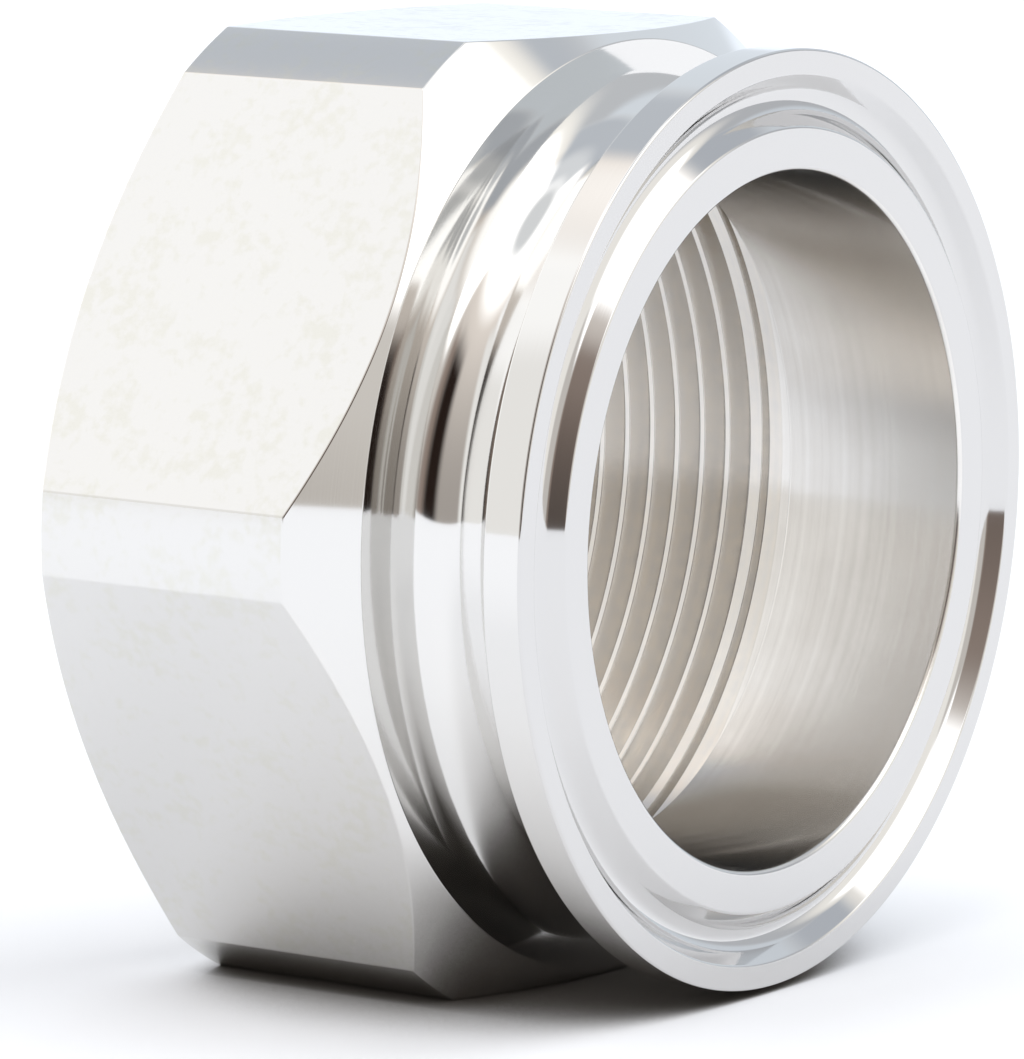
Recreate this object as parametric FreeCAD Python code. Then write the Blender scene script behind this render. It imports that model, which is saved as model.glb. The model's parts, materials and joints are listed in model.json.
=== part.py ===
import FreeCAD, Part
import math
import os

# Sanitary clamp threaded adapter, turned in one piece from hexagonal stainless bar.
# The axis of all turned surfaces is X. The flange's sealing face is the plane x = 0 and looks along +X.
# +Z is up, square to the top flat of the hexagon. Sizes are in millimetres, angles in degrees.

# Clamp flange
FLANGE_DIAMETER = 64.0
RIM_WIDTH = 2.85            # cylindrical part of the rim, along the axis
CLAMP_ANGLE = 20.0          # slope of the flange's back, which the clamp ring pulls on
SEALING_FACE_WIDTH = 8.25   # radial width from the bore to the rim, which leaves a 47.5 mm bore

# Gasket groove in the sealing face: two sloping flanks, and a bottom that small flats make nearly round
GROOVE_INSET = 3.5          # radial distance from the rim to the groove's centre line
GROOVE_DEPTH = 1.4
GROOVE_BOTTOM_WIDTH = 1.2   # before its two corners are broken
GROOVE_BOTTOM_EDGE = 0.32
GROOVE_FLANK_ANGLE = 40.0   # each flank leans this far from the axis
GROOVE_LIP = 0.1

# Neck between the flange and the hexagon, most of it taken up by a large fillet at each end
NECK_WALL = 2.35
SHOULDER_DISTANCE = 12.4    # from the sealing face to the hexagon's front shoulder
SHOULDER_FILLET = 3.8
FLANGE_FILLET = 3.2         # between the flange's conical back and the neck

# Hexagon, 65 mm across flats
FLATS_OUTSIDE_RIM = 0.5     # radial, and keeps the rim clear of the surface that a flat lies on
CORNER_TURNED_OFF = 1.53    # what turning takes off each corner, measured along the radius
FRONT_CHAMFER_WIDTH = 4.0   # radial width of the chamfer at the shoulder
FRONT_CHAMFER_ANGLE = 41.0  # from a plane square to the axis
BACK_CHAMFER_WIDTH = 4.3
BACK_CHAMFER_ANGLE = 30.0

# Taper pipe thread of 2 inch size, 11.5 threads to the inch, bored to the diameter of its crests
THREAD_WALL = 2.453         # from the middle of a flat to the thread's roots at the mouth
THREAD_HEIGHT = 1.767
THREAD_TAPER = 1.0 / 16.0   # change of diameter along the axis
THREAD_LENGTH = 19.4        # from the mouth to the last groove
RELIEF_LENGTH = 4.4         # plain bore beyond the thread
WEB_THICKNESS = 1.8         # between the shoulder and the bottom of the threaded bore
MOUTH_CHAMFER_ANGLE = 45.0

# Broken edges
BORE_EDGE = 0.3
TURNED_EDGE = 0.15

# Length of bar beyond each end of the turned form
BAR_ALLOWANCE = 2.0

flange_radius = FLANGE_DIAMETER / 2
bore_radius = flange_radius - SEALING_FACE_WIDTH
neck_radius = bore_radius + NECK_WALL
flat_distance = flange_radius + FLATS_OUTSIDE_RIM
corner_radius = flat_distance / math.cos(math.radians(30)) - CORNER_TURNED_OFF
thread_root_radius = flat_distance - THREAD_WALL
thread_crest_radius = thread_root_radius - THREAD_HEIGHT
thread_bottom = SHOULDER_DISTANCE + WEB_THICKNESS
overall_length = thread_bottom + RELIEF_LENGTH + THREAD_LENGTH


def slope(run, angle):
    """How far a surface strays sideways over a run, when it leans by the angle from the run."""
    return run * math.tan(math.radians(angle))


def sharp(x, distance):
    """Corner of the section, left as it is. The distance is from the axis."""
    return {"x": x, "distance": distance, "size": 0.0, "arc": False}


def broken(x, distance, size):
    """Corner with a small flat that takes the same size off both sides."""
    return {"x": x, "distance": distance, "size": size, "arc": False}


def rounded(x, distance, radius):
    """Corner with an arc tangent to both sides."""
    return {"x": x, "distance": distance, "size": radius, "arc": True}


def section_wire(corners):
    """Closed wire through the corners. Where two corners would meet on a side, both give way."""
    count = len(corners)
    points = [FreeCAD.Vector(corner["x"], 0, corner["distance"]) for corner in corners]
    sides = [points[(i + 1) % count] - points[i] for i in range(count)]
    reach = []
    for i, corner in enumerate(corners):
        turn = sides[i - 1].getAngle(sides[i])
        reach.append(corner["size"] * (math.tan(turn / 2) if corner["arc"] else 1.0))
    fit = [side.Length / max(reach[i] + reach[(i + 1) % count], side.Length) for i, side in enumerate(sides)]
    reach = [reach[i] * min(fit[i - 1], fit[i]) for i in range(count)]

    edges = []
    for i, corner in enumerate(corners):
        before = FreeCAD.Vector(sides[i - 1]).normalize()
        after = FreeCAD.Vector(sides[i]).normalize()
        start = points[i] - before * reach[i]
        end = points[i] + after * reach[i]
        if corner["arc"]:
            inward = (after - before).normalize()
            middle = points[i] + inward * reach[i] * math.tan(before.getAngle(after) / 4)
            edges.append(Part.Arc(start, middle, end).toShape())
        elif reach[i] > 0:
            edges.append(Part.LineSegment(start, end).toShape())
        following = (i + 1) % count
        next_start = points[following] - after * reach[following]
        if not next_start.isEqual(end, 1e-6):
            edges.append(Part.LineSegment(end, next_start).toShape())
    return Part.Wire(edges)


def sealing_face():
    """Flange face from the bore to the rim, with the gasket groove."""
    groove_centre = flange_radius - GROOVE_INSET
    half_bottom = GROOVE_BOTTOM_WIDTH / 2
    half_width = half_bottom + slope(GROOVE_DEPTH, GROOVE_FLANK_ANGLE)
    return [
        broken(0, bore_radius, BORE_EDGE),
        broken(0, groove_centre - half_width, GROOVE_LIP),
        broken(-GROOVE_DEPTH, groove_centre - half_bottom, GROOVE_BOTTOM_EDGE),
        broken(-GROOVE_DEPTH, groove_centre + half_bottom, GROOVE_BOTTOM_EDGE),
        broken(0, groove_centre + half_width, GROOVE_LIP),
        broken(0, flange_radius, TURNED_EDGE),
    ]


def neck():
    """Rim, conical back of the flange, and the neck with its two fillets, up to the shoulder."""
    cone_length = slope(flange_radius - neck_radius, CLAMP_ANGLE)
    return [
        broken(-RIM_WIDTH, flange_radius, TURNED_EDGE),
        rounded(-RIM_WIDTH - cone_length, neck_radius, FLANGE_FILLET),
        rounded(-SHOULDER_DISTANCE, neck_radius, SHOULDER_FILLET),
    ]


def hexagon_ends():
    """Shoulder, both end chamfers, and the round lands that turning leaves on the hexagon's corners."""
    front_land = -SHOULDER_DISTANCE - slope(FRONT_CHAMFER_WIDTH, FRONT_CHAMFER_ANGLE)
    back_land = -overall_length + slope(BACK_CHAMFER_WIDTH, BACK_CHAMFER_ANGLE)
    return [
        sharp(-SHOULDER_DISTANCE, corner_radius - FRONT_CHAMFER_WIDTH),
        sharp(front_land, corner_radius),
        sharp(back_land, corner_radius),
        sharp(-overall_length, corner_radius - BACK_CHAMFER_WIDTH),
    ]


def inside():
    """Thread mouth, tapered bore at the thread's crests, plain relief, and the step to the flow bore."""
    lean = THREAD_TAPER / 2
    # The mouth's chamfer goes from the thread's roots to where it meets the taper
    chamfer_depth = THREAD_HEIGHT / (1 / math.tan(math.radians(MOUTH_CHAMFER_ANGLE)) - lean)
    relief_radius = thread_crest_radius - lean * THREAD_LENGTH
    return [
        sharp(-overall_length, thread_root_radius),
        sharp(-overall_length + chamfer_depth, thread_crest_radius - lean * chamfer_depth),
        sharp(-thread_bottom - RELIEF_LENGTH, relief_radius),
        sharp(-thread_bottom, relief_radius),
        broken(-thread_bottom, bore_radius, TURNED_EDGE),
    ]


def turned_form():
    """Everything that the lathe makes, as one revolved section."""
    section = Part.Face(section_wire(sealing_face() + neck() + hexagon_ends() + inside()))
    return section.revolve(FreeCAD.Vector(0, 0, 0), FreeCAD.Vector(1, 0, 0), 360)


def hexagonal_bar():
    """The bar, with one flat on top, one below, and two corners level with the axis."""
    point_radius = flat_distance / math.cos(math.radians(30))
    start = -overall_length - BAR_ALLOWANCE
    points = []
    for i in range(6):
        angle = math.radians(60 * i)
        points.append(FreeCAD.Vector(start, point_radius * math.cos(angle), point_radius * math.sin(angle)))
    end_face = Part.Face(Part.makePolygon(points + points[:1]))
    return end_face.extrude(FreeCAD.Vector(overall_length + 2 * BAR_ALLOWANCE, 0, 0))


def adapter_body():
    """The flats are what is left of the bar around the turned form."""
    return turned_form().common(hexagonal_bar()).Solids[0]


os.makedirs("parts", exist_ok=True)
body = adapter_body()
body.exportStep("parts/adapter_body.step")
box = body.optimalBoundingBox()
print("adapter_body", "valid", body.isValid(), "volume", round(body.Volume))
print("size", round(box.XLength, 2), round(box.YLength, 2), round(box.ZLength, 2))
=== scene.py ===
import json
import math
from typing import NamedTuple

import bpy
from bpy.props import FloatProperty, FloatVectorProperty, PointerProperty
from mathutils import Matrix, Vector


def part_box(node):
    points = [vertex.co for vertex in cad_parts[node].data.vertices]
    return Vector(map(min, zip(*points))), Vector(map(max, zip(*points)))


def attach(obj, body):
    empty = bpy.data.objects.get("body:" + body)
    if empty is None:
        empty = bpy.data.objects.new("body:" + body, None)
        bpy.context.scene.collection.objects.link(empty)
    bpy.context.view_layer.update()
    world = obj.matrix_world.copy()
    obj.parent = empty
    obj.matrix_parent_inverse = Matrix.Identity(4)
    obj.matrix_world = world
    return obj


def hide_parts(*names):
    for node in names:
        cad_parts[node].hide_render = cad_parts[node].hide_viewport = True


bl_info = {
    "name": "Clamp Threaded Adapter",
    "version": (1, 0, 0),
    "blender": (4, 5, 0),
    "location": "3D View > Sidebar > Adapter",
    "description": "Builds a sanitary clamp threaded adapter with its finishes, on a studio floor",
    "category": "Add Mesh",
}

# The axis of the adapter is X. The sealing face is the plane x = 0 and looks along +X, and +Z is up.
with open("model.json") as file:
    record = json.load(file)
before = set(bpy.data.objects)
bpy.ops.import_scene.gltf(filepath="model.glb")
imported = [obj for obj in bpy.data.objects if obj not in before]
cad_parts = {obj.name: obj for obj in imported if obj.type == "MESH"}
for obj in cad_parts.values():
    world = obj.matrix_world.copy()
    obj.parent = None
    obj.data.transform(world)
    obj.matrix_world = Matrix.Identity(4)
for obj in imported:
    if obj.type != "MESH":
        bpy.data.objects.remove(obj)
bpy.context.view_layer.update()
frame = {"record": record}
mounts = {mount["name"]: mount for mount in frame["record"]["mounts"]}
body_low, body_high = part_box("adapter_body")

MM = 0.001


def length(name, description, metres):
    """A size, which Blender shows in the scene's units."""
    return FloatProperty(name=name, description=description, default=metres, min=0.0,
                         subtype="DISTANCE", unit="LENGTH", precision=5)


def angle(name, description, degrees):
    """An angle, given in degrees and kept in radians."""
    return FloatProperty(name=name, description=description, default=math.radians(degrees),
                         subtype="ANGLE", unit="ROTATION")


def share(name, description, part):
    """A share from 0 to 1."""
    return FloatProperty(name=name, description=description, default=part, min=0.0, max=1.0,
                         subtype="FACTOR")


def colour(name, description, hex_code):
    """A colour, given as sRGB hex and kept linear."""
    return FloatVectorProperty(name=name, description=description, default=linear(hex_code), size=3,
                               min=0.0, max=1.0, subtype="COLOR")


def linear(hex_code):
    """Linear red, green and blue of an sRGB hex colour."""
    channels = [int(hex_code[i:i + 2], 16) / 255 for i in (1, 3, 5)]
    return [c / 12.92 if c <= 0.04045 else ((c + 0.055) / 1.055) ** 2.4 for c in channels]


class AdapterSizes(bpy.types.PropertyGroup):
    """Sizes of the adapter. Those that the frame knows come from it."""

    flange_radius: length("Flange radius", "Outside of the clamp flange",
                          mounts["flange_rim"]["dims"]["r_mm"] * MM)
    bore_radius: length("Bore radius", "Bore that the product flows through",
                        mounts["flow_bore"]["dims"]["r_mm"] * MM)
    overall_length: length("Overall length", "From the sealing face to the hexagon's back",
                           -body_low.x)
    flat_distance: length("Flat distance", "From the axis to a flat", body_high.z)
    corner_radius: length("Corner radius", "Radius that the hexagon's corners are turned to",
                          body_high.y)

    rim_width: length("Rim width", "Cylindrical part of the flange's rim", 2.85 * MM)
    clamp_angle: angle("Clamp angle", "Slope of the flange's back", 20)
    groove_inset: length("Groove inset", "From the rim to the middle of the gasket groove", 3.5 * MM)
    groove_depth: length("Groove depth", "Depth of the gasket groove", 1.4 * MM)
    groove_bottom: length("Groove bottom radius", "Round bottom of the gasket groove", 1.3 * MM)
    groove_flank: angle("Groove flank angle", "Lean of the groove's flanks from the axis", 40)
    groove_lip: length("Groove lip radius", "Rounding of the groove's edges", 0.25 * MM)

    neck_wall: length("Neck wall", "Wall of the neck around the bore", 2.35 * MM)
    flange_fillet: length("Flange fillet", "Fillet between the flange's back and the neck", 3.2 * MM)
    shoulder_distance: length("Shoulder distance", "From the sealing face to the shoulder", 12.4 * MM)
    shoulder_fillet: length("Shoulder fillet", "Fillet between the neck and the shoulder", 3.8 * MM)

    front_chamfer: length("Front chamfer", "Radial width of the chamfer at the shoulder", 4.0 * MM)
    front_angle: angle("Front chamfer angle", "Measured from a square plane", 41)
    back_chamfer: length("Back chamfer", "Radial width of the chamfer at the back", 4.3 * MM)
    back_angle: angle("Back chamfer angle", "Measured from a square plane", 30)
    bar_edge: length("Bar edge", "How far polishing has worn each edge of a flat", 0.1 * MM)

    bore_edge: length("Bore edge radius", "Rounding between the bore and the sealing face", 0.4 * MM)
    turned_edge: length("Turned edge radius", "Rounding of the other turned edges", 0.18 * MM)
    web: length("Web", "From the shoulder to the bottom of the threaded bore", 1.8 * MM)
    tool_nose: length("Tool nose radius", "Inside corner at the bottom of the threaded bore", 0.4 * MM)


class ThreadSizes(bpy.types.PropertyGroup):
    """Sizes of the internal taper pipe thread, right hand."""

    crest_radius: length("Crest radius", "Radius at the thread's crests, at the mouth",
                         mounts["pipe_thread"]["dims"]["r_mm"] * MM)
    cut_length: length("Cut length", "From the mouth to the last groove",
                       mounts["pipe_thread"]["dims"]["length_mm"] * MM)
    mouth_radius: length("Mouth radius", "Radius of the mouth's chamfer, at the hexagon's back",
                         30.047 * MM)
    pitch: length("Pitch", "One turn, for 11.5 threads to the inch", 25.4 / 11.5 * MM)
    depth: length("Thread depth", "Depth of a full groove", 1.43 * MM)
    root_width: length("Root width", "Width of a full groove at its root", 0.16 * MM)
    crest_edge: length("Crest edge", "Wear along each edge of a crest", 0.05 * MM)
    run_out: length("Run out", "Axial length over which the last grooves fade", 3.5 * MM)
    run_past: length("Run past", "How far the fading groove reaches into the plain relief", 1.4 * MM)
    start: length("Thread start", "From the sealing face to a groove's middle, at the +Y side",
                  20.83 * MM)
    flank_angle: angle("Flank angle", "Lean of each flank from a square plane", 30)
    mouth_angle: angle("Mouth angle", "Chamfer at the mouth, measured from a square plane", 45)
    taper: FloatProperty(name="Taper", description="Change of radius along the axis", default=1 / 32)


class AdapterFinish(bpy.types.PropertyGroup):
    """Colours and tool marks of the steel. Spacings and widths are as drawn."""

    steel: colour("Steel", "Polished 316 stainless steel", "#E1E0DE")
    faced: colour("Faced steel", "The same steel as a facing tool leaves it", "#D3D2D1")
    mottle: colour("Mottle", "The same steel where the bar's skin shows a little", "#DEDDD7")
    tooled: colour("Tooled steel", "The same steel as a boring tool leaves it", "#E9E7E4")
    threaded: colour("Threaded steel", "The same steel as a threading tool leaves it", "#D8D3CC")
    graze: colour("Grazing tint", "What rough tool marks leave of a glancing reflection", "#747372")
    dulled: colour("Dulled rings", "The tooled steel's duller rings", "#E0DDD9")
    shaded: colour("Shaded lines", "The threaded steel's duller lines", "#D3D0CC")

    turned_roughness: share("Turned roughness", "Of the turned and polished surfaces", 0.07)
    drawn_roughness: share("Drawn roughness", "Of the flats", 0.16)
    bored_roughness: share("Bored roughness", "Of the flow bore", 0.21)
    thread_roughness: share("Thread roughness", "Of the thread and its relief", 0.18)
    turned_grain: share("Turned grain", "How far turned rings draw the gloss out along the axis", 0.5)
    bored_grain: share("Bored grain", "How far bored rings draw the gloss out along the axis", 0.85)

    turning_feed: length("Turning feed", "Spacing of the turned rings", 0.25 * MM)
    turning_mark: length("Turning mark", "Height of the turned rings", 0.0005 * MM)
    boring_feed: length("Boring feed", "Spacing of the bored rings", 0.3 * MM)
    boring_mark: length("Boring mark", "Height of the bored rings", 0.0003 * MM)
    threading_line: length("Threading line", "Spacing of the lines that the thread's tool leaves",
                           0.4 * MM)
    threading_mark: length("Threading mark", "Height of those lines", 0.0003 * MM)
    cloud: length("Cloud", "Width of the soft patches in the polish", 4.5 * MM)
    speckle: length("Speckle", "Width of the small spots in the bar's skin", 0.9 * MM)
    wave: length("Wave", "Width of the slow waves in the flats", 14 * MM)
    wave_height: length("Wave height", "Height of the slow waves in the flats", 0.006 * MM)


class StudioSettings(bpy.types.PropertyGroup):
    """Floor and camera."""

    floor_size: length("Floor size", "Side of the square floor", 6.0)
    azimuth: angle("Camera azimuth", "From the view along +Y towards the flange's side", 33.79)
    elevation: angle("Camera elevation", "Above level", 8.168)
    roll: angle("Camera roll", "Turn about the view", 0.7528)
    distance: length("Camera distance", "From the target", 0.509059)
    target: FloatVectorProperty(name="Target", description="Point that the camera looks at", size=3,
                                default=(-0.020917, -0.001671, -0.002259), subtype="XYZ",
                                unit="LENGTH", precision=5)
    lens: FloatProperty(name="Lens", description="Focal length", default=250.556,
                        subtype="DISTANCE_CAMERA", unit="CAMERA")
    sensor: FloatProperty(name="Sensor", description="Height of the sensor", default=36.0,
                          subtype="DISTANCE_CAMERA", unit="CAMERA")
    clip_end: length("Clip end", "Farthest distance that the camera shows", 20.0)


class Corner(NamedTuple):
    """A corner of the section: its place along the axis, its distance from it, and its rounding."""

    x: float
    r: float
    rounding: float = 0.0


class Station(NamedTuple):
    """A point of the section's outline, with its outward normal."""

    x: float
    r: float
    nx: float
    nr: float


class Column(NamedTuple):
    """A line along the hexagon's outside: its angle round the axis from +Y, the bar's distance from
    the axis there, and the angle that the bar's surface faces."""

    turn: float
    reach: float
    facing: float


SIDES = 6                        # sides of the hexagon
HALF_SIDE = math.radians(30)     # from a corner of the hexagon to the middle of a side
ARC_STEP = math.radians(7)       # largest turn between two stations of a rounding
LEAST_STEPS = 2                  # fewest steps of a rounding
FLAT_COLUMNS = 24                # columns on each half of a flat
LAND_COLUMNS = 8                 # columns on each turned corner
FLAT_STATIONS = 6                # stations along a flat
WORN_FACES = 2                   # faces across a worn edge of the bar
CHAMFER_RUN = 0.15 * MM          # how far the turned outline runs onto a chamfer past its edge
WELD = 1e-7                      # points nearer than this, in metres, are one

SPARE_GROOVES = 2                # grooves worked out past each end of the thread, and cut off there
SHALLOWEST = 0.02                # share of a full groove from which one is cut at all
CREST_WEAR = 0.25                # the most of a groove's depth that wear takes
FADE_MARGIN = 3                  # crest edges between the end of the fading groove and the relief


def outline(corners):
    """Stations along a line through the corners, each rounded by an arc tangent to both sides."""
    sides = []
    for first, second in zip(corners, corners[1:]):
        run = Vector((second.x - first.x, second.r - first.r))
        sides.append(run.normalized())
    stations = [Station(corners[0].x, corners[0].r, sides[0].y, -sides[0].x)]
    for corner, before, after in zip(corners[1:-1], sides, sides[1:]):
        turn = -before.angle_signed(after)
        reach = corner.rounding * math.tan(abs(turn) / 2)
        side = math.copysign(corner.rounding, turn)
        facing = math.atan2(-before.x, before.y)
        centre = Vector((corner.x, corner.r)) - before * reach
        centre -= side * Vector((math.cos(facing), math.sin(facing)))
        steps = max(LEAST_STEPS, math.ceil(abs(turn) / ARC_STEP))
        for i in range(steps + 1):
            nx = math.cos(facing + turn * i / steps)
            nr = math.sin(facing + turn * i / steps)
            stations.append(Station(centre.x + side * nx, centre.y + side * nr, nx, nr))
    stations.append(Station(corners[-1].x, corners[-1].r, sides[-1].y, -sides[-1].x))
    return stations


def worn_back(wear, turn):
    """How far the middle of a worn edge stands back from the sharp one. The wear is measured along
    each side of the edge, and the turn is the angle between the sides' normals."""
    return wear * math.tan(turn / 4)


def chamfer_point(start, width, slope, outward):
    """A corner on a chamfer, this radial width past the chamfer's start. Outward is the axis sign."""
    return Corner(start.x - outward * width * math.tan(slope), start.r + width)


def front_of_adapter(sizes, relief_radius):
    """Outline from the bottom of the threaded bore, through the flow bore and round the flange, to
    the chamfer on the hexagon's front."""
    lean = sizes.groove_flank
    middle = sizes.flange_radius - sizes.groove_inset
    apex = sizes.groove_depth + sizes.groove_bottom * (1 / math.sin(lean) - 1)
    half_width = apex * math.tan(lean)
    neck_radius = sizes.bore_radius + sizes.neck_wall
    cone_end = sizes.rim_width + (sizes.flange_radius - neck_radius) * math.tan(sizes.clamp_angle)
    bottom = -sizes.shoulder_distance - sizes.web
    shoulder_edge = Corner(-sizes.shoulder_distance, sizes.corner_radius - sizes.front_chamfer,
                           sizes.turned_edge)
    inside = [
        Corner(bottom - sizes.web, relief_radius),
        Corner(bottom, relief_radius, sizes.tool_nose),
        Corner(bottom, sizes.bore_radius, sizes.turned_edge),
        Corner(0, sizes.bore_radius, sizes.bore_edge),
    ]
    outside = [
        Corner(0, middle - half_width, sizes.groove_lip),
        Corner(-apex, middle, sizes.groove_bottom),
        Corner(0, middle + half_width, sizes.groove_lip),
        Corner(0, sizes.flange_radius, sizes.turned_edge),
        Corner(-sizes.rim_width, sizes.flange_radius, sizes.turned_edge),
        Corner(-cone_end, neck_radius, sizes.flange_fillet),
        Corner(-sizes.shoulder_distance, neck_radius, sizes.shoulder_fillet),
        shoulder_edge,
        chamfer_point(shoulder_edge, CHAMFER_RUN, sizes.front_angle, 1),
    ]
    return outline(inside + outside)


def back_of_adapter(sizes, thread):
    """Outline from the chamfer on the hexagon's back to the mouth's chamfer."""
    edge = Corner(-sizes.overall_length, sizes.corner_radius - sizes.back_chamfer, sizes.turned_edge)
    mouth = Corner(-sizes.overall_length, thread.mouth_radius, sizes.turned_edge)
    inner = Corner(mouth.x + CHAMFER_RUN * math.tan(thread.mouth_angle), mouth.r - CHAMFER_RUN)
    return outline([chamfer_point(edge, CHAMFER_RUN, sizes.back_angle, -1), edge, mouth, inner])


def bar_columns(sizes):
    """Columns round the hexagon, corner by corner from +Y, with a full turn's worth and one more."""
    half_flat = math.acos(sizes.flat_distance / sizes.corner_radius)
    half_land = HALF_SIDE - half_flat
    flat_width = sizes.flat_distance * math.tan(half_flat)
    worn = half_flat - math.atan((flat_width - sizes.bar_edge) / sizes.flat_distance)
    land_edge = half_land - sizes.bar_edge / sizes.corner_radius
    worn_reach = sizes.corner_radius - worn_back(sizes.bar_edge, half_flat)

    half = []
    for i in range(LAND_COLUMNS // 2 + 1):
        turn = land_edge * i / (LAND_COLUMNS // 2)
        half.append(Column(turn, sizes.corner_radius, turn))
    half.append(Column(half_land, worn_reach, HALF_SIDE - half_flat / 2))
    for i in range(FLAT_COLUMNS + 1):
        turn = HALF_SIDE - (half_flat - worn) * (1 - i / FLAT_COLUMNS)
        reach = sizes.flat_distance / math.cos(HALF_SIDE - turn)
        half.append(Column(turn, reach, HALF_SIDE))

    corner = [Column(-c.turn, c.reach, -c.facing) for c in reversed(half[1:])] + half[:-1]
    columns = []
    for i in range(SIDES):
        at = math.radians(360 * i / SIDES)
        columns += [Column(c.turn + at, c.reach, c.facing + at) for c in corner]
    first = columns[0]
    columns.append(Column(first.turn + math.tau, first.reach, first.facing + math.tau))
    return columns


def bar_stations(sizes, column):
    """Points along the hexagon's outside from the front chamfer to the back one, as place along the
    axis, distance from it, and normal."""
    round_normal = Vector((0, math.cos(column.turn), math.sin(column.turn)))
    bar_normal = Vector((0, math.cos(column.facing), math.sin(column.facing)))
    ends = []
    for sign, slope, start, width in (
        (1, sizes.front_angle, -sizes.shoulder_distance, sizes.front_chamfer),
        (-1, sizes.back_angle, -sizes.overall_length, sizes.back_chamfer),
    ):
        normal_x, normal_r = sign * math.cos(slope), math.sin(slope)
        edge_x = start - sign * (column.reach - sizes.corner_radius + width) * math.tan(slope)
        cone_normal = round_normal * normal_r + Vector((normal_x, 0, 0))
        between = Vector((normal_x, normal_r + 1)).normalized()
        between *= worn_back(sizes.bar_edge, math.pi / 2 - slope)
        on_cone = column.reach - sizes.bar_edge * abs(normal_x)
        ends.append([
            (edge_x + sign * sizes.bar_edge * normal_r, on_cone, cone_normal),
            (edge_x - between.x, column.reach - between.y, (cone_normal + bar_normal).normalized()),
            (edge_x - sign * sizes.bar_edge, column.reach, bar_normal),
        ])
    front, back = ends
    front_x, back_x = front[-1][0], back[-1][0]
    along = [
        (front_x + (back_x - front_x) * i / (FLAT_STATIONS + 1), column.reach, bar_normal)
        for i in range(1, FLAT_STATIONS + 1)
    ]
    return front + along + back[::-1]


def thread_profile(thread, cut):
    """One groove from the crest before it to its far edge, as offsets from its middle: place along
    the axis, depth, and normal. The cut is a share of a full groove."""
    lean = thread.flank_angle
    flank_x, flank_r = math.cos(lean), -math.sin(lean)
    opening = cut * (thread.root_width / 2 + thread.depth * math.tan(lean))
    depth = cut * thread.depth
    root = cut * thread.root_width / 2
    wear = min(thread.crest_edge, depth * CREST_WEAR)
    back = worn_back(wear, math.pi / 2 - lean)
    halfway = Vector((flank_x, flank_r - 1)).normalized()
    rising = [
        (-opening - wear, 0.0, 0.0, -1.0),
        (-opening - halfway.x * back, -halfway.y * back, halfway.x, halfway.y),
        (-opening + wear * math.sin(lean), wear * math.cos(lean), flank_x, flank_r),
        (-root - wear * math.sin(lean), depth - wear * math.cos(lean), flank_x, flank_r),
        (-root, depth, halfway.x, halfway.y),
    ]
    falling = [(-x, d, -nx, nr) for x, d, nx, nr in reversed(rising)]
    if not depth:
        rising = [(x, 0.0, 0.0, -1.0) for x, d, nx, nr in rising]
        falling = [(x, 0.0, 0.0, -1.0) for x, d, nx, nr in falling]
    return [(-thread.pitch / 2, 0.0, 0.0, -1.0)] + rising + falling


def thread_stations(sizes, thread, turn, mouth_x, relief_x, relief_radius):
    """Stations of the threaded bore on one column, from the mouth to the relief. A right-hand groove
    comes nearer to the flange as the column turns from +Y to +Z."""
    turns = turn / math.tau
    fade_end = -relief_x + thread.crest_edge * FADE_MARGIN
    grooves = math.ceil((-mouth_x - thread.start) / thread.pitch) + SPARE_GROOVES
    mouth_slope = math.tan(thread.mouth_angle)
    mouth_normal = (-math.sin(thread.mouth_angle), -math.cos(thread.mouth_angle))
    stations = []
    for groove in range(grooves, -SPARE_GROOVES - 1, -1):
        middle = -thread.start + thread.pitch * (turns - groove)
        cut = min(1.0, max(0.0, (-middle - fade_end) / thread.run_out))
        if cut <= SHALLOWEST:
            cut = 0.0
        for offset, depth, nx, nr in thread_profile(thread, cut):
            x = min(max(middle + offset, mouth_x), relief_x)
            crest = max(thread.crest_radius - thread.taper * (x + sizes.overall_length), relief_radius)
            mouth = thread.mouth_radius - (x + sizes.overall_length) / mouth_slope
            if mouth > crest + depth:
                stations.append(Station(x, mouth, *mouth_normal))
            elif middle + offset >= relief_x:
                stations.append(Station(relief_x, crest, -thread.taper, -1.0))
            else:
                stations.append(Station(x, crest + depth, nx - thread.taper, nr))
    return stations


class AdapterShell:
    """The adapter's surface as one closed mesh: points shared by place, and a finish for each face."""

    def __init__(self):
        self.points = []
        self.normals = []
        self.faces = []
        self.finishes = []
        self.known = {}

    def point(self, column, turn, x, r, normal):
        """Index of the point at this place, which is made if it isn't there yet."""
        key = (column, round(x / WELD), round(r / WELD))
        if key not in self.known:
            self.known[key] = len(self.points)
            self.points.append((x, r * math.cos(turn), r * math.sin(turn)))
            self.normals.append(normal.normalized())
        return self.known[key]

    def line(self, column, turn, stations):
        """Indices of the points of one column's stations."""
        cosine, sine = math.cos(turn), math.sin(turn)
        return [
            self.point(column, turn, x, r, Vector((nx, nr * cosine, nr * sine)))
            for x, r, nx, nr in stations
        ]

    def stitch(self, near, far, finishes):
        """Faces between two columns. Where points coincide the face has a corner less, or isn't made."""
        for i, finish in enumerate(finishes):
            j = (i + 1) % len(near)
            ring = [near[i], near[j], far[j], far[i]]
            corners = [p for k, p in enumerate(ring) if p not in ring[:k]]
            if len(corners) > 2:
                self.faces.append(corners)
                self.finishes.append(finish)


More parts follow.
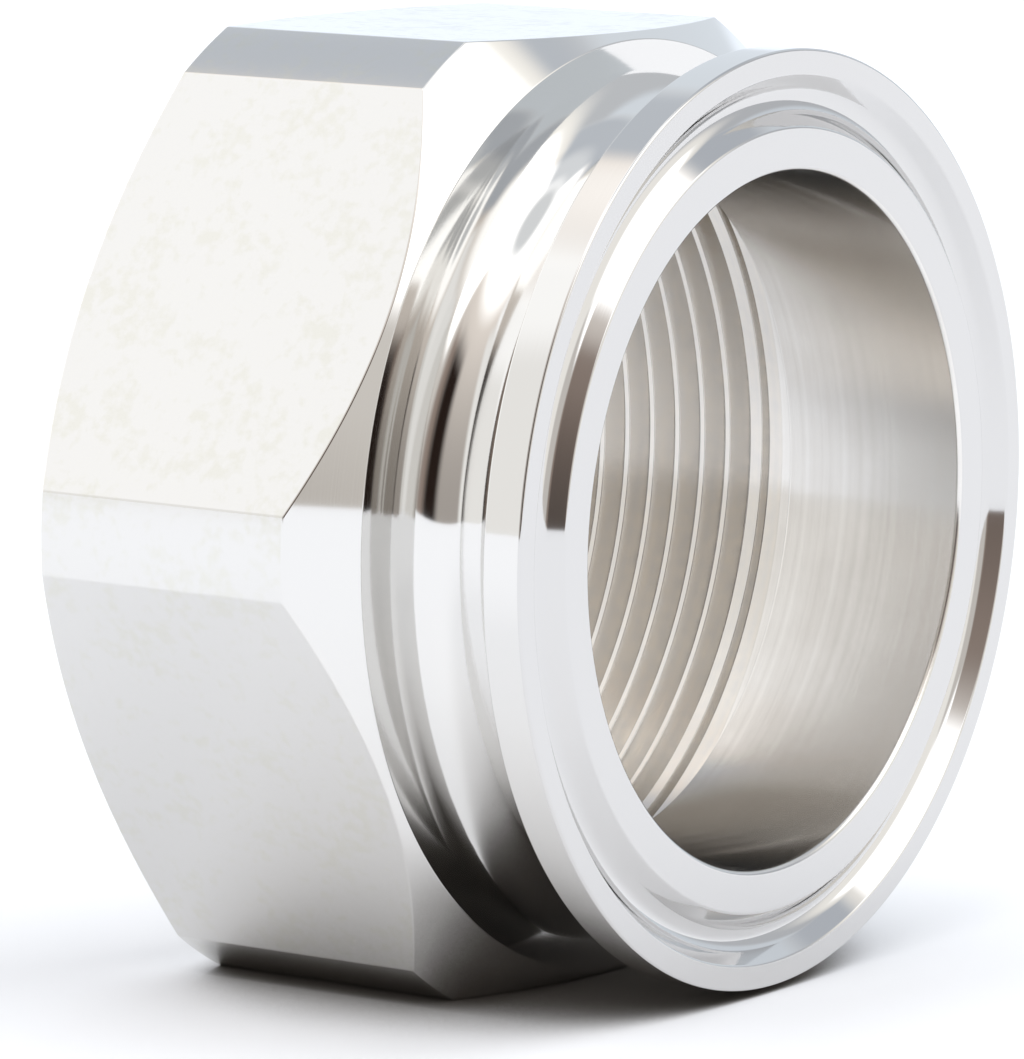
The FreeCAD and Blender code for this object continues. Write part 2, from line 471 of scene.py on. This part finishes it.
def adapter_shell(sizes, thread):
    """The whole surface, column by column round the axis."""
    relief_radius = thread.crest_radius - thread.taper * thread.cut_length
    relief_x = thread.cut_length - sizes.overall_length + thread.run_past
    front = front_of_adapter(sizes, relief_radius)
    back = back_of_adapter(sizes, thread)
    front[0] = front[0]._replace(x=relief_x)
    columns = bar_columns(sizes)
    shell = AdapterShell()
    lines = []
    for i, column in enumerate(columns):
        place = i % (len(columns) - 1)
        bar = [
            shell.point(place, column.turn, x, r, normal) for x, r, normal in bar_stations(sizes, column)
        ]
        threads = thread_stations(sizes, thread, column.turn, back[-1].x, relief_x, relief_radius)
        line = shell.line(place, column.turn, front) + bar
        line += shell.line(place, column.turn, back) + shell.line(place, column.turn, threads)
        lines.append(line)

    # A face takes the finish of the station that it starts from.
    bored = sum(1 for station in front
                if station.r <= sizes.bore_radius + WELD or station.x < -sizes.shoulder_distance)
    rim = next(i for i, station in enumerate(front) if station.r > sizes.flange_radius - WELD)
    finishes = (
        ["bored"] * bored
        + ["faced"] * (rim - bored)
        + ["turned"] * (len(front) - rim + WORN_FACES)
        + ["drawn"] * (FLAT_STATIONS + WORN_FACES)
        + ["turned"] * (len(back) + 1)
    )
    finishes += ["threaded"] * (len(lines[0]) - len(finishes))
    for near, far in zip(lines, lines[1:]):
        shell.stitch(near, far, finishes)
    return shell


QUARTER_TURN = 0.25              # as a share of a full turn
ACROSS_AXIS = (0, 1, 1)          # keeps what lies across the X axis
EVEN = (0.35, 0.65)              # the span of a pattern's values that shows it everywhere
SPARSE = (0.5, 0.62)             # the span that leaves most of the surface clean
STEADY = (0.92, 1.08)            # a pattern's least and most roughness, as shares of the finish's
UNEVEN = (0.9, 1.2)              # the same for a finish that varies more


def add_node(owner, kind, inputs=None, **settings):
    """Adds a node to a material or a world. Each input is a value, or the socket that feeds it."""
    tree = owner.node_tree
    node = tree.nodes.new(kind)
    for name, value in settings.items():
        setattr(node, name, value)
    for name, value in (inputs or {}).items():
        if isinstance(value, bpy.types.NodeSocket):
            tree.links.new(value, node.inputs[name])
        else:
            node.inputs[name].default_value = value
    return node


def new_metal(name, steel, roughness, grain=0.0, graze=(1, 1, 1)):
    """A bare metal that keeps the shader's default IOR, and its shader. Its grain runs round the
    axis, and draws the gloss out across it, so along the axis. The last colour tints glancing
    reflections."""
    material = bpy.data.materials.new(name)
    material.use_nodes = True
    shader = material.node_tree.nodes["Principled BSDF"]
    shader.inputs["Base Color"].default_value = (*steel, 1)
    shader.inputs["Metallic"].default_value = 1
    shader.inputs["Roughness"].default_value = roughness
    shader.inputs["Specular Tint"].default_value = (*graze, 1)
    if grain:
        shader.inputs["Anisotropic"].default_value = grain
        shader.inputs["Anisotropic Rotation"].default_value = QUARTER_TURN
        tangent = add_node(material, "ShaderNodeTangent", direction_type="RADIAL", axis="X")
        material.node_tree.links.new(tangent.outputs["Tangent"], shader.inputs["Tangent"])
    return material, shader


def tool_travel(material):
    """Distance that grows along the turned section, across the tool's rings, in metres."""
    place = add_node(material, "ShaderNodeTexCoord").outputs["Object"]
    parts = add_node(material, "ShaderNodeSeparateXYZ", {"Vector": place})
    across = add_node(material, "ShaderNodeVectorMath", {0: place, 1: ACROSS_AXIS}, operation="MULTIPLY")
    radius = add_node(material, "ShaderNodeVectorMath", {0: across.outputs[0]}, operation="LENGTH")
    return add_node(material, "ShaderNodeMath", {0: radius.outputs["Value"], 1: parts.outputs["X"]},
                    operation="SUBTRACT").outputs[0]


def rings(material, spacing, detail):
    """Uneven rings round the axis, this far apart."""
    return add_node(material, "ShaderNodeTexNoise",
                    {"W": tool_travel(material), "Scale": 1 / spacing, "Detail": detail},
                    noise_dimensions="1D").outputs["Fac"]


def clouds(material, width, detail):
    """Soft patches of about this width."""
    place = add_node(material, "ShaderNodeTexCoord").outputs["Object"]
    return add_node(material, "ShaderNodeTexNoise",
                    {"Vector": place, "Scale": 1 / width, "Detail": detail}).outputs["Fac"]


def marks(material, shader, height, distance):
    """Gives the surface this relief."""
    bump = add_node(material, "ShaderNodeBump", {"Height": height, "Distance": distance})
    material.node_tree.links.new(bump.outputs["Normal"], shader.inputs["Normal"])


def blend(material, shader, pattern, span, colours, roughness, swing):
    """Varies the colour and the roughness as a pattern goes over this span of its values. The swing
    is what it multiplies the roughness by, at least and at most."""
    spread = add_node(material, "ShaderNodeMapRange",
                      {"Value": pattern, "From Min": span[0], "From Max": span[1]})
    mixed = add_node(material, "ShaderNodeMixRGB", {
        "Fac": spread.outputs["Result"], "Color1": (*colours[0], 1), "Color2": (*colours[1], 1)})
    polish = add_node(material, "ShaderNodeMapRange", {
        "Value": spread.outputs["Result"], "To Min": roughness * swing[0],
        "To Max": roughness * swing[1]})
    material.node_tree.links.new(mixed.outputs["Color"], shader.inputs["Base Color"])
    material.node_tree.links.new(polish.outputs["Result"], shader.inputs["Roughness"])


def average(material, first, second):
    """The middle between two patterns."""
    total = add_node(material, "ShaderNodeMath", {0: first, 1: second})
    half = add_node(material, "ShaderNodeMath", {0: total.outputs[0], 1: 0.5}, operation="MULTIPLY")
    return half.outputs[0]


def turned_rings(material, shader, finish):
    """Relief of fine rings round the axis. The real ones are about 0.08 mm apart, and are drawn
    coarser, so that they show."""
    marks(material, shader, rings(material, finish.turning_feed, detail=2), finish.turning_mark)


def turned_stainless(finish):
    """316 stainless steel, turned with a fine feed and polished on the lathe. The eye sees a mirror
    with a faint grain round the axis, so bright shapes smear a little along it."""
    material, shader = new_metal("turned_stainless", finish.steel, finish.turned_roughness,
                                 finish.turned_grain)
    turned_rings(material, shader, finish)
    return material


def faced_stainless(finish):
    """316 stainless steel, faced square to the axis and left unpolished, so that the gasket seals on
    it. The eye sees a mirror that is a little greyer than the polished steel round it."""
    material, shader = new_metal("faced_stainless", finish.faced, finish.turned_roughness,
                                 finish.turned_grain)
    turned_rings(material, shader, finish)
    return material


def bored_stainless(finish):
    """316 stainless steel, bored and left from the tool. The eye sees satin: rings round the bore, a
    few of them duller, and light that is smeared along it in streaks."""
    material, shader = new_metal("bored_stainless", finish.tooled, finish.bored_roughness,
                                 finish.bored_grain, finish.graze)
    # The real feed is about 0.1 mm. The rings are drawn coarser, so that they show.
    feed = rings(material, finish.boring_feed, detail=3)
    wide = rings(material, finish.boring_feed * 2, detail=2)
    dull = average(material, wide, clouds(material, finish.cloud, detail=2))
    blend(material, shader, dull, EVEN, (finish.tooled, finish.dulled), finish.bored_roughness, STEADY)
    marks(material, shader, feed, finish.boring_mark)
    return material


def drawn_stainless(finish):
    """316 stainless steel bar, cold drawn and polished on its flats. The eye sees a soft mirror with
    slow waves, and pale yellowish spots where the bar's skin isn't quite gone."""
    material, shader = new_metal("drawn_stainless", finish.steel, finish.drawn_roughness)
    mottle = average(material, clouds(material, finish.cloud, detail=3),
                     clouds(material, finish.speckle, detail=2))
    blend(material, shader, mottle, SPARSE, (finish.steel, finish.mottle), finish.drawn_roughness, UNEVEN)
    marks(material, shader, clouds(material, finish.wave, detail=1), finish.wave_height)
    return material


def threaded_stainless(finish):
    """316 stainless steel, cut with a threading tool. The eye sees bright flanks with fine lines along
    the cut, a little warmer than the polished outside."""
    material, shader = new_metal("threaded_stainless", finish.threaded, finish.thread_roughness,
                                 finish.turned_grain)
    # The real lines are finer still. They are drawn as coarse as the render needs.
    lines = rings(material, finish.threading_line, detail=2)
    shades = average(material, lines, clouds(material, finish.speckle, detail=1))
    blend(material, shader, shades, EVEN, (finish.threaded, finish.shaded), finish.thread_roughness,
          UNEVEN)
    marks(material, shader, lines, finish.threading_mark)
    return material


class ADAPTER_OT_body(bpy.types.Operator):
    """Builds the adapter, with its thread, in place of the plain solid"""

    bl_idname = "adapter.body"
    bl_label = "Adapter body"

    def execute(self, context):
        scene = context.scene
        shell = adapter_shell(scene.adapter_sizes, scene.thread_sizes)
        mesh = bpy.data.meshes.new("clamp_adapter")
        mesh.from_pydata(shell.points, [], shell.faces)
        for finish in FINISHES.values():
            mesh.materials.append(finish(scene.adapter_finish))
        order = list(FINISHES)
        mesh.polygons.foreach_set("material_index", [order.index(name) for name in shell.finishes])
        mesh.polygons.foreach_set("use_smooth", [True] * len(shell.faces))
        mesh.normals_split_custom_set_from_vertices(shell.normals)
        body = bpy.data.objects.new("clamp_adapter", mesh)
        scene.collection.objects.link(body)
        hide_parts("adapter_body")
        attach(body, "root")
        return {"FINISHED"}


FINISHES = {
    "turned": turned_stainless,
    "faced": faced_stainless,
    "drawn": drawn_stainless,
    "bored": bored_stainless,
    "threaded": threaded_stainless,
}


class Patch(NamedTuple):
    """A part of the studio as the adapter sees it: the direction of its middle, its half width and
    half height, and its soft edge, in degrees. Azimuth 0 is the camera's side, and it grows to the
    camera's right."""

    azimuth: float
    elevation: float
    half_width: float
    half_height: float
    edge: float
    hex_code: str
    strength: float


ALL_ROUND = 200                  # half width, in degrees, of a patch that has no sides

STUDIO = {
    "ceiling": Patch(0, 90, ALL_ROUND, 31, 7, "#FFFFFF", 1.8),
    "overhead": Patch(0, 90, ALL_ROUND, 13, 4, "#F4F7FA", 0.92),
    "ceiling, far side": Patch(140, 61, 34, 15, 6, "#F6FAFF", 0.92),
    "far wall, high": Patch(162, 49, 56, 11, 5, "#EEF5FF", 0.71),
    "far wall": Patch(158, 14, 52, 26, 4, "#EEF6FF", 0.96),
    "far wall's side": Patch(113, 14, 9, 27, 4, "#EEF2F8", 0.74),
    "far edge": Patch(180, 0, 22, 9, 3, "#EDF5FF", 1.25),
    "left panel, low": Patch(-120, 8, 34, 26, 5, "#FFFFFF", 1.35),
    "left panel, high": Patch(-108, 40, 26, 14, 5, "#FFFFFF", 1.32),
    "left panel's edge": Patch(-84, 20, 10, 34, 4, "#FFFFFF", 1.24),
    "left strip": Patch(-68, 14, 9, 36, 4, "#FFFEFC", 1.02),
    "right wall": Patch(82, 20, 25, 36, 5, "#FFFDF8", 1.20),
    "right panel": Patch(66, 44, 34, 17, 3, "#FFFFFF", 1.90),
    "right strip": Patch(44, 8, 16, 22, 5, "#FFFAF4", 0.76),
    "opening's edge": Patch(19, 17, 7, 23, 4, "#B4A399", 0.75),
    "opening": Patch(2, 18, 13, 24, 7, "#2A201C", 1.0),
}

PAPER = "#F5F7FB"
SHADE = "#66625E"                # the paper where its shade is deepest
SHADE_REACH = 100 * MM           # how far the deepened shade on the paper reaches
SHADE_DARK = 0.10                # share of open air within that reach, at which it is deepest
SHADE_CLEAR = 0.50               # share of open air from which it isn't deepened
SHADE_RAYS = 24                  # rays that measure the open air, for each sample

TENT = "#FFF6EE"
TENT_LOW = 0.46                  # the tent's brightness at the level of the floor
TENT_RISE = 0.75                 # what is added overhead, growing with the height squared


class Lamp(NamedTuple):
    """A soft lamp for the paper, which the metal doesn't mirror: where it stands, as for a patch, its
    width in degrees, and its watts for each square metre."""

    azimuth: float
    elevation: float
    spread: float
    strength: float


LAMPS = {
    "back_lamp": Lamp(125, 25, 30, 0.9),
    "front_lamp": Lamp(-35, 45, 40, 0.4),
}


def patch_mask(world, azimuth, elevation, patch):
    """1 inside the patch and 0 outside, with a soft edge."""
    masks = []
    for bearing, middle, half in (
        (azimuth, patch.azimuth, patch.half_width), (elevation, patch.elevation, patch.half_height),
    ):
        away = add_node(world, "ShaderNodeMath", {0: bearing, 1: math.radians(middle)},
                        operation="SUBTRACT")
        away = add_node(world, "ShaderNodeMath", {0: away.outputs[0], 1: math.pi}, operation="PINGPONG")
        mask = add_node(world, "ShaderNodeMapRange", {
            "Value": away.outputs[0],
            "From Min": math.radians(half + patch.edge), "From Max": math.radians(half - patch.edge),
        }, interpolation_type="SMOOTHSTEP")
        masks.append(mask.outputs["Result"])
    return add_node(world, "ShaderNodeMath", {0: masks[0], 1: masks[1]}, operation="MULTIPLY").outputs[0]


def studio_world(camera_azimuth):
    """A pale tent. The camera sees it plain white, and the metal also sees its walls, its brighter
    panels and the dark opening that the photograph is taken through."""
    world = bpy.data.worlds.new("studio")
    world.use_nodes = True
    # The tent is soft all round, so the rays that bounce find its light well enough by themselves.
    world.cycles.sampling_method = "NONE"
    world.node_tree.nodes.clear()
    place = add_node(world, "ShaderNodeTexCoord").outputs["Generated"]
    direction = add_node(world, "ShaderNodeVectorRotate",
                         {"Vector": place, "Angle": math.pi / 2 - camera_azimuth}, rotation_type="Z_AXIS")
    parts = add_node(world, "ShaderNodeSeparateXYZ", {"Vector": direction.outputs[0]})
    height = parts.outputs["Z"]
    azimuth = add_node(world, "ShaderNodeMath", {0: parts.outputs["Y"], 1: parts.outputs["X"]},
                       operation="ARCTAN2").outputs[0]
    elevation = add_node(world, "ShaderNodeMath", {0: height}, operation="ARCSINE").outputs[0]
    squared = add_node(world, "ShaderNodeMath", {0: height, 1: height}, operation="MULTIPLY")
    rise = add_node(world, "ShaderNodeMath", {0: squared.outputs[0], 1: TENT_RISE, 2: TENT_LOW},
                    operation="MULTIPLY_ADD")
    seen = add_node(world, "ShaderNodeBackground",
                    {"Color": (*linear(TENT), 1), "Strength": rise.outputs[0]}).outputs[0]
    for patch in STUDIO.values():
        light = add_node(world, "ShaderNodeBackground",
                         {"Color": (*linear(patch.hex_code), 1), "Strength": patch.strength})
        mask = patch_mask(world, azimuth, elevation, patch)
        seen = add_node(world, "ShaderNodeMixShader", {0: mask, 1: seen, 2: light.outputs[0]}).outputs[0]
    white = add_node(world, "ShaderNodeBackground", {"Color": (1, 1, 1, 1), "Strength": 1})
    rays = add_node(world, "ShaderNodeLightPath")
    shown = add_node(world, "ShaderNodeMixShader",
                     {0: rays.outputs["Is Camera Ray"], 1: seen, 2: white.outputs[0]})
    add_node(world, "ShaderNodeOutputWorld", {"Surface": shown.outputs[0]})
    return world


def floor_paper():
    """White paper sweep, matt. The less open sky a spot has, the deeper its shade is made, as in a
    studio picture with strong contrast."""
    material = bpy.data.materials.new("floor_paper")
    material.use_nodes = True
    material.node_tree.nodes.clear()
    sky = add_node(material, "ShaderNodeAmbientOcclusion", {"Distance": SHADE_REACH},
                   samples=SHADE_RAYS).outputs["AO"]
    depth = add_node(material, "ShaderNodeMapRange",
                     {"Value": sky, "From Min": SHADE_DARK, "From Max": SHADE_CLEAR},
                     interpolation_type="SMOOTHSTEP")
    shade = add_node(material, "ShaderNodeMixRGB", {
        "Fac": depth.outputs["Result"],
        "Color1": (*linear(SHADE), 1), "Color2": (*linear(PAPER), 1)})
    paper = add_node(material, "ShaderNodeBsdfDiffuse", {"Color": shade.outputs["Color"]})
    add_node(material, "ShaderNodeOutputMaterial", {"Surface": paper.outputs[0]})
    return material


def add_floor(scene, studio):
    """A square of paper under the adapter."""
    half = studio.floor_size / 2
    corners = [(-half, -half), (half, -half), (half, half), (-half, half)]
    mesh = bpy.data.meshes.new("floor")
    mesh.from_pydata([(x, y, body_low.z) for x, y in corners], [], [(0, 1, 2, 3)])
    mesh.materials.append(floor_paper())
    floor = bpy.data.objects.new("floor", mesh)
    scene.collection.objects.link(floor)


def add_lamps(scene, studio):
    """The soft lamps, each turned to where it stands."""
    for name, lamp in LAMPS.items():
        light = bpy.data.lights.new(name, "SUN")
        light.energy = lamp.strength
        light.angle = math.radians(lamp.spread)
        turn = Matrix.Rotation(studio.azimuth + math.radians(lamp.azimuth), 3, "Z")
        tilt = Matrix.Rotation(-math.radians(lamp.elevation), 3, "X")
        toward = turn @ tilt @ Vector((0, -1, 0))
        holder = bpy.data.objects.new(name, light)
        holder.rotation_euler = toward.to_track_quat("Z", "Y").to_euler()
        holder.visible_glossy = False
        scene.collection.objects.link(holder)


def add_camera(scene, studio):
    """The camera at the photograph's viewing angle."""
    outward = math.cos(studio.elevation)
    back = Vector((math.sin(studio.azimuth) * outward, -math.cos(studio.azimuth) * outward,
                   math.sin(studio.elevation)))
    level = Vector((math.cos(studio.azimuth), math.sin(studio.azimuth), 0))
    right = level * math.cos(studio.roll) + back.cross(level) * math.sin(studio.roll)
    place = Matrix((right, back.cross(right), back)).transposed().to_4x4()
    place.translation = Vector(studio.target) + back * studio.distance
    camera = bpy.data.cameras.new("camera")
    camera.sensor_fit = "VERTICAL"
    camera.sensor_height = camera.sensor_width = studio.sensor
    camera.lens = studio.lens
    camera.clip_end = studio.clip_end
    holder = bpy.data.objects.new("camera", camera)
    holder.matrix_world = place
    scene.collection.objects.link(holder)
    scene.camera = holder


class ADAPTER_OT_stage(bpy.types.Operator):
    """Adds the floor, the light and the camera"""

    bl_idname = "adapter.stage"
    bl_label = "Stage"

    def execute(self, context):
        scene = context.scene
        studio = scene.adapter_studio
        scene.view_settings.view_transform = "Standard"
        scene.world = studio_world(studio.azimuth)
        add_floor(scene, studio)
        add_lamps(scene, studio)
        add_camera(scene, studio)
        return {"FINISHED"}


class ADAPTER_PT_sidebar(bpy.types.Panel):
    """Lists the adapter's operators and settings"""

    bl_idname = "ADAPTER_PT_sidebar"
    bl_label = "Clamp Threaded Adapter"
    bl_space_type = "VIEW_3D"
    bl_region_type = "UI"
    bl_category = "Adapter"

    def draw(self, context):
        for operator in (ADAPTER_OT_body, ADAPTER_OT_stage):
            self.layout.operator(operator.bl_idname)
        for name, group in SETTINGS.items():
            box = self.layout.box()
            for setting in group.__annotations__:
                box.prop(getattr(context.scene, name), setting)


SETTINGS = {
    "adapter_sizes": AdapterSizes,
    "thread_sizes": ThreadSizes,
    "adapter_finish": AdapterFinish,
    "adapter_studio": StudioSettings,
}
CLASSES = (*SETTINGS.values(), ADAPTER_OT_body, ADAPTER_OT_stage, ADAPTER_PT_sidebar)


def register():
    for cls in CLASSES:
        bpy.utils.register_class(cls)
    for name, group in SETTINGS.items():
        setattr(bpy.types.Scene, name, PointerProperty(type=group))


def unregister():
    for name in SETTINGS:
        delattr(bpy.types.Scene, name)
    for cls in reversed(CLASSES):
        bpy.utils.unregister_class(cls)


def main():
    """Builds the adapter and its stage."""
    register()
    bpy.ops.adapter.body()
    bpy.ops.adapter.stage()


if __name__ == "__main__":
    main()
